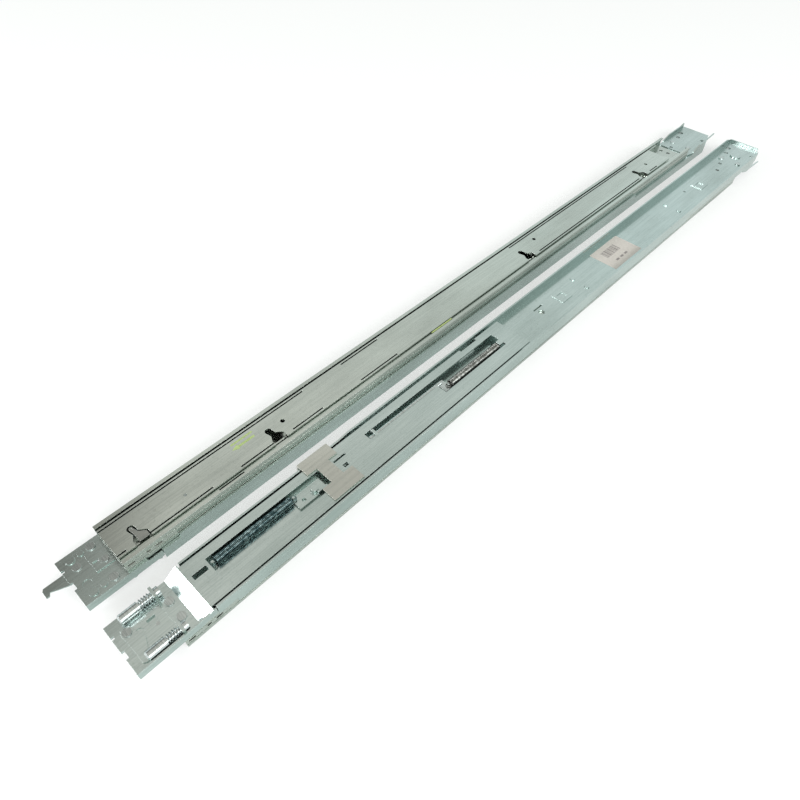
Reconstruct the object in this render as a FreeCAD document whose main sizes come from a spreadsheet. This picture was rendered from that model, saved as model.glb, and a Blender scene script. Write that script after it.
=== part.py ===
import FreeCAD, Part
import os
import Sketcher

# Sliding server rail pair: two telescopic rails that lie side by side.
# The right-hand rail lies with its inner face up and the left-hand rail with its outer face up.
# Each piece is drawn once, for the right-hand rail, in the rail's own coordinates:
# x runs from the front to the rear, y across the rail and z from the outer to the inner face.
# The left-hand rail is the mirror image of it, placed beside it.

SIZES = [
    # Outer sheet parts
    ("channel_depth", 8.5, "outer face to the channel's web"),
    ("channel_sheet", 1.5, "sheet of the channel"),
    ("channel_half", 22.2, "half width of the channel"),
    ("channel_front", 45.5, "front end of the channel"),
    ("channel_rear", 897, "rear end of the channel and its bracket"),
    ("channel_corner", 29, "length of the chamfer on the rear corner"),
    ("channel_corner_in", 8, "width of the chamfer on the rear corner"),
    ("depth_travel", 100, "travel of the channel for the rack's depth"),
    ("move_gap", 0.3, "gap between sheet parts that slide over each other"),
    # Front bracket
    ("plate_front", -11.5, "front edge of the bracket's plate"),
    ("plate_half", 21.5, "half width of the bracket's plate"),
    ("joggle_start", 33, "start of the sloped bend"),
    ("joggle_run", 10, "length of the sloped bend"),
    ("panel_half", 18.8, "half width of the long panel"),
    ("panel_rear", 386, "rear end of the long panel"),
    ("panel_sheet", 1.5, "sheet of the long panel"),
    ("side_lip", 5.5, "height of the plate's side lip"),
    ("side_lip_sheet", 1.2, "sheet of the plate's side lip"),
    ("side_lip_rear", 45.2, "rear end of the plate's side lip"),
    ("notch_deep", 2, "depth of the notches in the plate's front edge"),
    # Guide saddle
    ("saddle_sheet", 1.2, "sheet of the guide saddle"),
    ("saddle_front", 151, "front edge of the guide saddle"),
    ("saddle_long", 29.4, "length of the saddle's wings"),
    ("saddle_neck_long", 11.8, "length of the saddle's neck"),
    ("saddle_reach", 25.4, "reach of the saddle over the channel's wall"),
    ("saddle_low", 17.5, "reach of the saddle's lower wing"),
    ("saddle_lip", 6, "height of the saddle's lip"),
    ("wing_top_in", 12.7, "inner edge of the upper wing"),
    ("wing_low_in", 3.9, "inner edge of the lower wing"),
    ("wall_ramp", 10, "ramp between the low and the full channel wall"),
    # Rack pegs
    ("peg_pitch", 31.75, "distance between the two pegs, one rack unit's outer holes"),
    ("peg_rad", 3.6, "radius of a peg's head"),
    ("peg_tip", -2, "front end of a peg"),
    ("peg_head_long", 14, "length of a peg's head"),
    ("peg_shank_rad", 2.3, "radius of a peg's shank"),
    ("peg_bore_gap", 0.06, "running clearance of the shank in its tab"),
    ("peg_height", 3.8, "outer face to a peg's axis"),
    ("peg_nut_long", 3, "length of a peg's nut"),
    ("peg_nut_rad", 3.5, "corner radius of a peg's nut"),
    ("peg_tab_front", 21.7, "front face of the peg tab"),
    ("peg_tab_sheet", 2, "sheet of the peg tab"),
    ("peg_tab_half", 4.3, "half width of the peg tab"),
    ("peg_foot_long", 8, "length of the peg tab's foot"),
    ("peg_foot_sheet", 0.9, "sheet of the peg tab's foot"),
    ("peg_wire", 0.45, "radius of the peg spring's wire"),
    ("peg_coil_rad", 3.0, "coil radius of the peg spring"),
    ("peg_coil_pitch", 1.9, "pitch of the peg spring"),
    # Front hook latch and the guard behind it
    ("hook_tip", -26.8, "front end of the hook latch"),
    ("hook_at", -2.2, "pivot of the hook latch along the rail"),
    ("hook_y", 8, "pivot of the hook latch across the rail"),
    ("hook_sheet", 0.9, "sheet of the hook latch and of its guard"),
    ("hook_gap", 0.1, "gap between the hook latch and the plate over it"),
    ("pin_rad", 1.9, "radius of the latch's pivot rivet"),
    ("pin_gap", 0.06, "running clearance of the latch on its rivet"),
    ("pin_head_rad", 3.0, "head radius of the pivot rivet"),
    ("guard_front", 5.4, "front edge of the guard"),
    ("guard_rear", 18.5, "rear edge of the guard"),
    ("guard_low", -5.2, "lower edge of the guard"),
    ("guard_high", 12, "upper corner of the guard"),
    ("guard_window", 4.4, "side of the guard's square window"),
    ("guard_rivet_at", 14.5, "rivet of the guard"),
    # Spring tray, lock slider and its spring
    ("tray_front", 59.7, "front end of the tray"),
    ("tray_low", -7.1, "lower edge of the tray"),
    ("tray_high", 11.4, "upper edge of the tray"),
    ("tray_sheet", 0.8, "sheet of the tray"),
    ("tray_floor", 7.3, "outer face to the tray's floor"),
    ("lock_front", 130.7, "front end of the lock slider"),
    ("lock_long", 26.5, "length of the lock slider"),
    ("lock_low", -2.6, "lower edge of the lock slider"),
    ("lock_high", 8.9, "upper edge of the lock slider"),
    ("lock_sheet", 1.6, "sheet of the lock slider"),
    ("lock_travel", 6, "travel of the lock slider"),
    ("lock_boss_rad", 3.0, "radius of the slider's boss"),
    ("lock_boss_at", 148.4, "middle of the slider's boss"),
    ("spring_y", 7.1, "sideways place of the lock spring and the rod"),
    ("spring_z", 3.75, "outer face to the lock spring's axis"),
    ("spring_rad", 3.4, "outer radius of the lock spring"),
    ("spring_wire", 0.9, "wire of the two long springs"),
    ("loop_rad", 2.0, "middle radius of a spring's end loop"),
    ("loop_wire", 0.5, "wire radius of a spring's end loop"),
    ("post_rad", 1.05, "radius of the posts that hold the loops"),
    ("post_inset", 2.6, "tray's front end to the first post"),
    ("lock_post_inset", 1.7, "slider's front end to its post"),
    # Release rod and its spring
    ("rod_front", 209.5, "front end of the release rod"),
    ("rod_rear", 294, "rear end of the release rod"),
    ("rod_rad", 2.4, "radius of the release rod"),
    ("rod_gap", 0.06, "running clearance of the rod in its guide"),
    ("rod_z", 5.6, "outer face to the rod's axis"),
    ("guide_long", 2.5, "length of the rod's guide"),
    ("guide_wall", 1.2, "wall of the rod's guide"),
    ("rod_window_front", 208, "front end of the rod's window"),
    ("rod_window_high", 11.2, "upper edge of the rod's window"),
    ("rod_window_low", 4.3, "lower edge of the rod's window"),
    ("rod_travel", 8, "travel of the release rod"),
    ("pull_window_rear", 368, "rear end of the pull spring's window"),
    ("pull_window_low", -5.4, "lower edge of the pull spring's window"),
    ("pull_z", 4.2, "outer face to the pull spring's axis"),
    ("pull_rad", 3.7, "outer radius of the pull spring"),
    ("pull_post_front", 296, "post on the rod's lug"),
    ("pull_post_rear", 364.5, "post on the panel's tongue"),
    ("lug_sheet", 1.2, "sheet of the rod's lug"),
    ("lug_z", 4.9, "outer face to the rod's lug"),
    ("tongue_half", 2.6, "half width of the panel's tongue"),
    ("end_slope", 19, "length of the far wall's sloped rear end"),
    ("end_lip", 3, "height of the lip at the channel's rear end"),
    ("flange_front", 60, "front end of the near wall's flange"),
    ("flange_rear", "=channel_rear - 209", "rear end of the near wall's flange"),
    ("flange_top", 14, "outer face to the flange's edge"),
    # Rear bracket
    ("rear_front", "=channel_rear - 71", "front end of the rear bracket"),
    ("rear_sheet", 1.5, "sheet of the rear bracket"),
    ("rear_wing_front", "=channel_rear - 59", "front end of the rear bracket's wings"),
    ("rear_wing_top", 6.2, "height of the wings over the channel's web"),
    ("rear_tip_top", 8, "height of the wings' pointed tips"),
    ("rear_tip_long", 9, "length of the wings' pointed tips"),
    ("rear_hole_at", "=channel_rear - 21", "rack holes of the rear bracket"),
    ("rear_hole_rad", 3.1, "radius of the rack holes"),
    ("rear_boss_at", "=channel_rear - 35", "middle of the rear boss"),
    ("rear_boss_rad", 6.5, "radius of the rear boss"),
    ("rear_boss_tall", 1.2, "height of the rear boss"),
    ("rear_rivet_at", "=channel_rear - 53", "rivets of the rear bracket"),
    ("rear_rivet_y", 11, "sideways place of the rear rivets"),
    # Ball slide
    ("slide_front", 20, "front end of the slide"),
    ("slide_rear", "=channel_rear - 75", "rear end of the outer slide member"),
    ("middle_rear", "=slide_rear - 22", "rear end of the middle slide member"),
    ("inner_rear", "=middle_rear - 22", "rear end of the inner slide member"),
    ("slide_thick", 12.7, "thickness of the slide"),
    ("slide_half", 20, "half width of the slide"),
    ("slide_sheet", 1.3, "sheet of the slide members"),
    ("groove_deep", 0.4, "depth of the outer member's grooves"),
    ("groove_wide", 1.2, "width of the outer member's grooves"),
    ("slide_lip", 3.1, "width of the outer member's lip"),
    ("lip_drop", 0.6, "outer member's lip below the inner member's face"),
    ("ball_rad", 1.5, "radius of the balls"),
    ("ball_gap", 2.7, "space between two members' walls"),
    ("ball_clear", 0.12, "clearance of the balls in their races"),
    ("ball_pitch", 12, "distance between two balls"),
    ("ball_count", 12, "balls in one row"),
    ("cage_sheet", 0.4, "sheet of the ball cages"),
    ("cage_gap", 0.2, "gap under a cage's web"),
    ("cage_end", 7, "cage beyond its last ball"),
    ("outer_cage_front", 260, "front end of the outer ball cage"),
    ("inner_cage_front", 250, "front end of the inner ball cage"),
    ("outer_race", 6.3, "outer member's back to the outer balls' axis"),
    ("inner_race", 6.6, "outer member's back to the inner balls' axis"),
    ("middle_top", 10.7, "outer member's back to the middle member's edge"),
    ("face_half", 14.6, "half width of the inner member's face"),
    ("edge_slot", 1.3, "width of the long slots at the face's edges"),
    # Stud slots, stud latch and slide release
    ("slot_y", -0.6, "sideways place of a stud slot's seat"),
    ("slot_rad", 2.8, "radius of a stud slot's seat"),
    ("latch_at", 37.4, "first stud slot, which the stud latch closes"),
    ("latch_slit", 1.4, "slit around the stud latch"),
    ("latch_low", -13.4, "lower edge of the stud latch"),
    ("leaf_sheet", 0.6, "sheet of the leaf spring"),
    ("leaf_rear", 82, "rear end of the leaf spring"),
    ("leaf_half", 2.2, "half width of the leaf spring"),
    ("leaf_y", -4, "sideways place of the leaf spring"),
    ("leaf_lift", 0.8, "spacer between the leaf spring and the face"),
    ("leaf_foot", 6, "length of the leaf spring's riveted foot"),
    ("tab_front", 332, "front end of the release tab"),
    ("tab_long", 27, "length of the release tab"),
    ("tab_wide", 1.4, "width of the release tab"),
    ("tab_gap", 0.35, "gap between the release tab and the face"),
    ("tab_tall", 1.2, "height of the release tab"),
    # Studs and rivets
    ("stud_rad", 2.4, "radius of the guide studs"),
    ("stud_gap", 0.3, "clearance of the guide studs in their slots"),
    ("stud_y", -13, "sideways place of the guide studs"),
    ("stud_a", 198, "first guide stud"),
    ("stud_b", 378, "second guide stud"),
    ("rivet_rad", 1.5, "radius of the rivets' shanks"),
    ("rivet_head", 3.2, "radius of the rivets' heads"),
    ("rivet_tall", 1.1, "height of the rivets' heads"),
    ("slide_rivet_at", 27.5, "rivets between the bracket and the slide"),
    ("slide_rivet_y", 7, "sideways place of these rivets"),
    # Layout of the pair
    ("rail_pitch", 66.5, "distance between the middles of the two rails"),
]

doc = FreeCAD.newDocument("ServerRailPair")
sheet = doc.addObject("Spreadsheet::Sheet", "Sizes")
for row, (alias, value, note) in enumerate(SIZES, start=1):
    sheet.set(f"A{row}", alias)
    sheet.set(f"B{row}", str(value))
    sheet.set(f"C{row}", note)
    sheet.setAlias(f"B{row}", alias)
doc.recompute()

V = FreeCAD.Vector
ALIASES = sorted((alias for alias, value, note in SIZES), key=len, reverse=True)


def bound(text):
    """The expression for a size that is written with the sheet's plain names."""
    words = []
    word = ""
    for mark in str(text) + " ":
        if mark.isalnum() or mark == "_" or (mark == "." and word):
            word += mark
            continue
        words.append("Sizes." + word if word in ALIASES else word)
        words.append(mark)
        word = ""
    return "".join(words).strip()


def number(text):
    """The value of such an expression now."""
    return float(sheet.evalExpression(bound(text)))


def plane(body, role):
    """One of the body's own origin planes."""
    return [item for item in body.Origin.OriginFeatures if item.Role == role][0]


def sketch(body, role, loops, offset, lift="0"):
    """A sketch with every point bound to the sheet, moved off its plane by offset and up it by lift."""
    drawing = body.newObject("Sketcher::SketchObject", "Outline")
    drawing.AttachmentSupport = [(plane(body, role), "")]
    drawing.MapMode = "FlatFace"
    drawing.setExpression("AttachmentOffset.Base.z", bound(offset))
    drawing.setExpression("AttachmentOffset.Base.y", bound(lift))
    rules = []
    formulas = []
    for loop in loops:
        first = drawing.GeometryCount
        if loop[0] == "circle":
            name, across, along, radius = loop
            drawing.addGeometry(Part.Circle(V(number(across), number(along), 0), V(0, 0, 1), number(radius)), False)
            rules.append(Sketcher.Constraint("DistanceX", -1, 1, first, 3, number(across)))
            rules.append(Sketcher.Constraint("DistanceY", -1, 1, first, 3, number(along)))
            rules.append(Sketcher.Constraint("Radius", first, number(radius)))
            formulas += [(len(rules) - 3, across), (len(rules) - 2, along), (len(rules) - 1, radius)]
            continue
        values = [V(number(across), number(along), 0) for across, along in loop]
        sides = len(values)
        for side in range(sides):
            drawing.addGeometry(Part.LineSegment(values[side], values[(side + 1) % sides]), False)
        for side in range(sides):
            rules.append(Sketcher.Constraint("Coincident", first + side, 2, first + (side + 1) % sides, 1))
        for side in range(sides):
            rules.append(Sketcher.Constraint("DistanceX", -1, 1, first + side, 1, values[side].x))
            rules.append(Sketcher.Constraint("DistanceY", -1, 1, first + side, 1, values[side].y))
            formulas += [(len(rules) - 2, loop[side][0]), (len(rules) - 1, loop[side][1])]
    drawing.addConstraint(rules)
    for rule, formula in formulas:
        drawing.setExpression(f"Constraints[{rule}]", bound(formula))
    return drawing


def new_body(label):
    """An empty body for one piece."""
    body = doc.addObject("PartDesign::Body", label)
    body.Label = label
    return body


def add(body, role, loops, offset, length):
    """A pad of the loops, from the offset plane along its normal."""
    feature = body.newObject("PartDesign::Pad", "Pad")
    feature.Profile = sketch(body, role, loops, offset)
    feature.setExpression("Length", bound(length))
    return feature


def cut(body, role, loops, offset, length):
    """A pocket of the loops, from the offset plane against its normal."""
    feature = body.newObject("PartDesign::Pocket", "Pocket")
    feature.Profile = sketch(body, role, loops, offset)
    feature.setExpression("Length", bound(length))
    return feature


def box(x0, x1, y0, y1):
    """A rectangle's corners."""
    return [(x0, y0), (x1, y0), (x1, y1), (x0, y1)]


def add_flat(body, loops, low, high):
    """Solid between two heights."""
    return add(body, "XY_Plane", loops, low, f"({high}) - ({low})")


def cut_flat(body, loops, low, high):
    """Opening between two heights."""
    return cut(body, "XY_Plane", loops, high, f"({high}) - ({low})")


def add_side(body, loop, low, high):
    """Solid with an outline seen from the side, between two places across the rail."""
    return add(body, "XZ_Plane", [loop], f"-({high})", f"({high}) - ({low})")


def add_end(body, loops, front, rear):
    """Solid with a section seen from the end, between two places along the rail."""
    return add(body, "YZ_Plane", loops, front, f"({rear}) - ({front})")


def cut_end(body, loops, front, rear):
    """Opening with a section seen from the end."""
    return cut(body, "YZ_Plane", loops, rear, f"({rear}) - ({front})")


# Heights that several pieces share, from the outer face towards the inner face
WEB = "channel_depth"
WEB_IN = "(channel_depth + channel_sheet)"
SEAT = "(channel_depth + channel_sheet + move_gap)"
FACE = "(channel_depth + channel_sheet + move_gap + slide_thick)"
PANEL = "saddle_sheet"
PANEL_IN = "(saddle_sheet + panel_sheet)"

# Places across the slide, from the middle outwards
OUTER_WALL = "(slide_half - slide_sheet)"
MIDDLE_HALF = "(slide_half - slide_sheet - ball_gap)"
MIDDLE_WALL = "(slide_half - 2 * slide_sheet - ball_gap)"
INNER_HALF = "(slide_half - 2 * slide_sheet - 2 * ball_gap)"
INNER_WALL = "(slide_half - 3 * slide_sheet - 2 * ball_gap)"
OUTER_BALL = "(slide_half - slide_sheet - ball_gap / 2)"
INNER_BALL = "(slide_half - 2 * slide_sheet - 1.5 * ball_gap)"
RACE_RAD = "(ball_rad + ball_clear / 2)"

# Seats of the four stud slots along the rail
STUD_SEATS = ("latch_at", "157", "486.5", "channel_rear - 180.4")

# Heights in the slide
OUTER_CAGE = f"({SEAT} + slide_sheet + cage_gap)"
MIDDLE_WEB = f"({SEAT} + slide_sheet + 2 * cage_gap + cage_sheet + 0.1)"
INNER_CAGE = f"({MIDDLE_WEB} + slide_sheet + cage_gap)"
INNER_EDGE = f"({INNER_CAGE} + cage_sheet + cage_gap)"
FACE_BACK = f"({FACE} - slide_sheet)"
OUTER_BALL_Z = f"({SEAT} + outer_race)"
INNER_BALL_Z = f"({SEAT} + inner_race)"

# Places of the pegs and of the rivets beside them
PEG_SIDES = {"upper": "-peg_pitch / 2", "lower": "peg_pitch / 2"}
BRACKET_RIVETS = [("12", "-peg_pitch / 2"), ("12", "peg_pitch / 2")]
SLIDE_RIVETS = [("slide_rivet_at", "-slide_rivet_y"), ("slide_rivet_at", "slide_rivet_y")]
PLATE_BOSSES = [("-3", "-peg_pitch / 2", "rivet_head"), ("-3", "peg_pitch / 2", "rivet_head"),
                ("4.5", "-peg_pitch / 2", "rivet_head - 1"), ("4.5", "peg_pitch / 2", "rivet_head - 1")]
PLATE_DIMPLES = [("-3", "-7.5")]
REAR_RIVETS = [("rear_rivet_at", "-rear_rivet_y"), ("rear_rivet_at", "rear_rivet_y")]
REAR_HOLES = [("rear_hole_at", "-peg_pitch / 2"), ("rear_hole_at", "peg_pitch / 2")]
STUDS = [("stud_a", "stud_y"), ("stud_b", "stud_y")]


def front_bracket():
    """Plate with the rack pegs, sloped bend and long panel with the spring tray."""
    body = new_body("front_bracket")
    bend = "(joggle_start + joggle_run)"
    profile = [("plate_front", WEB), ("joggle_start", WEB), (bend, PANEL), ("panel_rear", PANEL),
               ("panel_rear", PANEL_IN), (f"{bend} + 1", PANEL_IN), ("joggle_start + 1", SEAT),
               ("plate_front", SEAT)]
    add_side(body, profile, "-plate_half", "plate_half")
    cut_flat(body, [box(bend, "panel_rear + 1", "panel_half", "plate_half + 1"),
                    box(bend, "panel_rear + 1", "-plate_half - 1", "-panel_half")], "0", PANEL_IN)
    add_flat(body, [box("plate_front", "side_lip_rear", "-plate_half", "-plate_half + side_lip_sheet")],
             f"{WEB} - side_lip", f"{WEB} + 0.5")
    add_flat(body, [("circle", across, along, radius) for across, along, radius in PLATE_BOSSES],
             f"{SEAT} - 0.5", f"{SEAT} + 0.8")
    cut_flat(body, [("circle", across, along, "rivet_head") for across, along in PLATE_DIMPLES],
             f"{SEAT} - 0.5", f"{SEAT} + 0.1")
    cut_flat(body, [box("plate_front - 1", "plate_front + notch_deep", "-6", "0"),
                    box("plate_front - 1", "plate_front + notch_deep", "10.5", "12.5")], WEB, SEAT)
    cut_flat(body, [("circle", "3", "2.7", "3.4")], f"{WEB} - 1", f"{WEB} + 0.7")
    cut_flat(body, [box("10", "16", "2.2", "6.7")], WEB, SEAT)
    cut_flat(body, [("circle", across, along, "rivet_rad") for across, along in BRACKET_RIVETS + SLIDE_RIVETS]
             + [("circle", "hook_at", "hook_y", "pin_rad"), ("circle", "guard_rivet_at", "0", "rivet_rad")], WEB, SEAT)
    # Tray that holds the lock slider and its spring
    tray_rear = "(lock_front + lock_long + lock_travel + move_gap + 1)"
    add_flat(body, [box("tray_front - tray_sheet", f"{tray_rear} + tray_sheet", "tray_low - tray_sheet",
                        "tray_high + tray_sheet")], PANEL, "tray_floor + tray_sheet")
    cut_flat(body, [box("tray_front", tray_rear, "tray_low", "tray_high")], "0", "tray_floor")
    add_flat(body, [("circle", "tray_front + post_inset", "spring_y", "post_rad")], "spring_z - 1.5",
             "tray_floor + tray_sheet / 2")
    cut_flat(body, [box("46.5", "57.5", "3.6", "7.5")], PANEL, PANEL_IN)
    cut_flat(body, [box("173", "185", "7.6", "9.2"), box("176", "180.5", "-1", "2")], PANEL, PANEL_IN)
    # Windows of the release rod and of its spring
    cut_flat(body, [box("rod_window_front", "pull_window_rear", "rod_window_low", "rod_window_high")],
             PANEL, PANEL_IN)
    cut_flat(body, [box("pull_post_front - post_rad - rod_travel - move_gap", "pull_window_rear", "pull_window_low",
                        "rod_window_low + 0.1")],
             PANEL, PANEL_IN)
    add_flat(body, [box("pull_post_rear - post_rad - 0.3", "pull_window_rear + 1", "-tongue_half", "tongue_half")],
             PANEL, PANEL_IN)
    add_flat(body, [("circle", "pull_post_rear", "0", "post_rad")], PANEL, "pull_z + 1.5")
    guide = "(rod_window_front + 6)"
    add_flat(body, [box(guide, f"{guide} + guide_long", "spring_y - rod_rad - guide_wall",
                        "spring_y + rod_rad + guide_wall")], PANEL, "rod_z + rod_rad / 2")
    cut_end(body, [("circle", "spring_y", "rod_z", "rod_rad + rod_gap")], f"{guide} - 1", f"{guide} + guide_long + 1")
    # Openings over the far wall and a small notch beside it
    cut_flat(body, [box("332", "353", "panel_half - 2.2", "panel_half + 1")], PANEL, PANEL_IN)
    return body


def guide_saddle():
    """Plate across the panel that reaches round the channel's far wall."""
    body = new_body("guide_saddle")
    rear = "(saddle_front + saddle_long)"
    neck = "(saddle_front + saddle_long / 2 - saddle_neck_long / 2)"
    neck_end = f"({neck} + saddle_neck_long)"
    outline = [("saddle_front", "-saddle_low"), (rear, "-saddle_low"), (rear, "-wing_low_in"),
               (neck_end, "-wing_low_in"), (neck_end, "wing_top_in"), (rear, "wing_top_in"),
               (rear, "saddle_reach"), ("saddle_front", "saddle_reach"), ("saddle_front", "wing_top_in"),
               (neck, "wing_top_in"), (neck, "-wing_low_in"), ("saddle_front", "-wing_low_in")]
    add_flat(body, [outline], "0", "saddle_sheet")
    add_flat(body, [box("saddle_front", rear, "saddle_reach - saddle_sheet", "saddle_reach")], "0", "saddle_lip")
    return body


def peg_bracket():
    """Two tabs that hold the pegs, each with a foot on the plate."""
    body = new_body("peg_bracket")
    back = "(peg_tab_front + peg_tab_sheet)"
    feet = []
    tabs = []
    for middle in PEG_SIDES.values():
        side = (f"{middle} - peg_tab_half", f"{middle} + peg_tab_half")
        feet.append(box("peg_tab_front - peg_foot_long - 4", back, *side))
        tabs.append(box("peg_tab_front", back, *side))
    bridge = box("peg_tab_front", back, "-peg_pitch / 2", "peg_pitch / 2")
    foot = f"{WEB} - peg_foot_sheet"
    add_flat(body, [bridge], foot, WEB)
    for tab in feet:
        add_flat(body, [tab], foot, WEB)
    for tab in tabs:
        add_flat(body, [tab], "0", WEB)
    cut_end(body, [("circle", middle, "peg_height", "peg_shank_rad + peg_bore_gap")
                   for middle in PEG_SIDES.values()], "peg_tab_front - 1", f"{back} + 1")
    cut_flat(body, [("circle", across, along, "rivet_rad") for across, along in BRACKET_RIVETS], foot, WEB)
    return body


def revolve(body, loop, axis_y, axis_z):
    """A turned solid: the loop gives x and the distance from an axis along the rail."""
    feature = body.newObject("PartDesign::Revolution", "Revolution")
    feature.Profile = sketch(body, "XZ_Plane", [loop], f"-({axis_y})", axis_z)
    feature.ReferenceAxis = (feature.Profile[0], ["H_Axis"])
    feature.Angle = 360
    return feature


def peg(side):
    """Peg with a rounded nose, a shank through its tab and a nut behind it."""
    body = new_body(side + "_peg")
    middle = PEG_SIDES[side]
    back = "(peg_tab_front + peg_tab_sheet)"
    shoulder = "(peg_tip + peg_head_long)"
    loop = [("peg_tip", "0"), ("peg_tip", "peg_rad - 1"), ("peg_tip + 1", "peg_rad"), (shoulder, "peg_rad"),
            (shoulder, "peg_shank_rad"), (f"{back} + 0.1", "peg_shank_rad"), (f"{back} + 0.1", "peg_nut_rad"),
            (f"{back} + 0.1 + peg_nut_long", "peg_nut_rad"), (f"{back} + 0.1 + peg_nut_long", "0")]
    revolve(body, loop, middle, "peg_height")
    return body


def peg_spring(side):
    """Compression spring round the peg's shank."""
    body = new_body(side + "_peg_spring")
    middle = PEG_SIDES[side]
    front = "(peg_tip + peg_head_long + peg_wire + 0.1)"
    length = f"(peg_tab_front - peg_tip - peg_head_long - 2 * peg_wire - 0.2)"
    wire = sketch(body, "XZ_Plane", [("circle", front, "peg_coil_rad", "peg_wire")], f"-({middle})", "peg_height")
    coil = body.newObject("PartDesign::AdditiveHelix", "Coil")
    coil.Profile = wire
    coil.ReferenceAxis = (wire, ["H_Axis"])
    coil.Mode = 0
    coil.setExpression("Pitch", bound("peg_coil_pitch"))
    coil.setExpression("Height", bound(length))
    return body


def bracket_rivets():
    """Rivets through the plate: two hold the peg bracket, two the slide and one the latch's guard."""
    body = new_body("bracket_rivets")
    back = f"{WEB} - peg_foot_sheet"
    add_flat(body, [("circle", across, along, "rivet_rad") for across, along in BRACKET_RIVETS], back, SEAT)
    add_flat(body, [("circle", across, along, "rivet_head") for across, along in BRACKET_RIVETS],
             SEAT, f"{SEAT} + rivet_tall")
    add_flat(body, [("circle", across, along, "rivet_rad") for across, along in SLIDE_RIVETS],
             WEB, f"{SEAT} + slide_sheet")
    add_flat(body, [("circle", across, along, "rivet_head") for across, along in SLIDE_RIVETS],
             f"{WEB} - rivet_tall", WEB)
    guard = ("circle", "guard_rivet_at", "0")
    add_flat(body, [(*guard, "rivet_rad")], WEB, f"{SEAT} + hook_sheet")
    add_flat(body, [(*guard, "rivet_head - 0.6")], f"{SEAT} + hook_sheet", f"{SEAT} + hook_sheet + 0.6")
    return body


def hook_latch():
    """Flat latch beneath the plate that swings out in front, with a barb that catches the rack post."""
    body = new_body("hook_latch")
    high = f"({WEB} - hook_gap)"
    low = f"({high} - hook_sheet)"
    outline = [("hook_at + 3.7", "hook_y - 3"), ("hook_at + 3.7", "hook_y + 3"), ("hook_at + 1.2", "hook_y + 4"),
               ("hook_tip + 14", "hook_y + 3.1"), ("hook_tip + 1.3", "hook_y + 3.1"), ("hook_tip", "hook_y + 1"),
               ("hook_tip", "hook_y - 4.9"), ("hook_tip + 2.2", "hook_y - 4.9"), ("hook_tip + 3.6", "hook_y - 2.4"),
               ("hook_tip + 8", "hook_y - 4.3"), ("hook_tip + 14.8", "hook_y - 7"), ("hook_at - 3.8", "hook_y - 5")]
    add_flat(body, [outline], low, high)
    cut_flat(body, [("circle", "hook_at", "hook_y", "pin_rad + pin_gap")], low, high)
    return body


def latch_rivet():
    """Pivot of the hook latch, with a head on the plate and one beneath the latch."""
    body = new_body("latch_rivet")
    low = f"({WEB} - 2 * hook_gap - hook_sheet)"
    add_flat(body, [("circle", "hook_at", "hook_y", "pin_rad")], low, SEAT)
    add_flat(body, [("circle", "hook_at", "hook_y", "pin_head_rad")], SEAT, f"{SEAT} + 0.8")
    add_flat(body, [("circle", "hook_at", "hook_y", "pin_head_rad")], f"{low} - 0.8", low)
    return body


def latch_guard():
    """Flat guard on the plate behind the hook latch, with a square window."""
    body = new_body("latch_guard")
    outline = [("guard_front", "guard_low"), ("guard_rear", "guard_low"), ("guard_rear", "guard_high - 7"),
               ("guard_rear - 4.2", "guard_high - 4.3"), ("guard_front + 1", "guard_high"),
               ("guard_front", "guard_high")]
    high = f"{SEAT} + hook_sheet"
    add_flat(body, [outline], SEAT, high)
    side = "guard_front + 1.2"
    cut_flat(body, [box(side, f"{side} + guard_window", "-guard_window / 2 + 1", "guard_window / 2 + 1")], SEAT, high)
    cut_flat(body, [("circle", "guard_rivet_at", "0", "rivet_rad")], SEAT, high)
    return body


def lock_slider():
    """Slider in the tray, with a boss, a hole and the post of its spring."""
    body = new_body("lock_slider")
    high = "(tray_floor - move_gap)"
    low = f"({high} - lock_sheet)"
    add_flat(body, [box("lock_front", "lock_front + lock_long", "lock_low", "lock_high")], low, high)
    add_flat(body, [box("lock_front + lock_long - 9", "lock_front + lock_long", "lock_low", "lock_low + lock_sheet")],
             "saddle_sheet + move_gap + 1", high)
    add_flat(body, [("circle", "lock_boss_at", "2.7", "lock_boss_rad")], "saddle_sheet + move_gap + 1", high)
    add_flat(body, [("circle", "lock_front + lock_post_inset", "spring_y", "post_rad")], "spring_z - 1.5", high)
    cut_flat(body, [("circle", "137.6", "1.7", "post_rad + 0.6")], low, high)
    return body


def coil_spring(label, front_post, rear_post, across, height, radius):
    """Close-wound extension spring with a loop round the post at each end."""
    body = new_body(label)
    start = f"({front_post} + loop_rad - 0.1)"
    stop = f"({rear_post} - loop_rad + 0.1)"
    inside = f"{radius} - spring_wire"
    neck = "loop_wire"
    loop = [(start, neck), (start, radius), (stop, radius), (stop, neck), (f"{stop} - spring_wire", neck),
            (f"{stop} - spring_wire", inside), (f"{start} + spring_wire", inside), (f"{start} + spring_wire", neck)]
    revolve(body, loop, across, height)
    for post in (front_post, rear_post):
        ring = body.newObject("PartDesign::AdditiveTorus", "Loop")
        ring.AttachmentSupport = [(plane(body, "XY_Plane"), "")]
        ring.MapMode = "FlatFace"
        ring.AttachmentOffset = FreeCAD.Placement(V(0, 0, 0), FreeCAD.Rotation(V(0, 0, 1), 90))
        ring.setExpression("AttachmentOffset.Base.x", bound(post))
        ring.setExpression("AttachmentOffset.Base.y", bound(across))
        ring.setExpression("AttachmentOffset.Base.z", bound(height))
        ring.setExpression("Radius1", bound("loop_rad"))
        ring.setExpression("Radius2", bound("loop_wire"))
    return body


def lock_spring():
    """Spring that pulls the lock slider to the front."""
    return coil_spring("lock_spring", "(tray_front + post_inset)", "(lock_front + lock_post_inset)",
                       "spring_y", "spring_z", "spring_rad")


def pull_spring():
    """Spring that pulls the release rod to the rear."""
    return coil_spring("pull_spring", "pull_post_front", "pull_post_rear", "0", "pull_z", "pull_rad")


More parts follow.
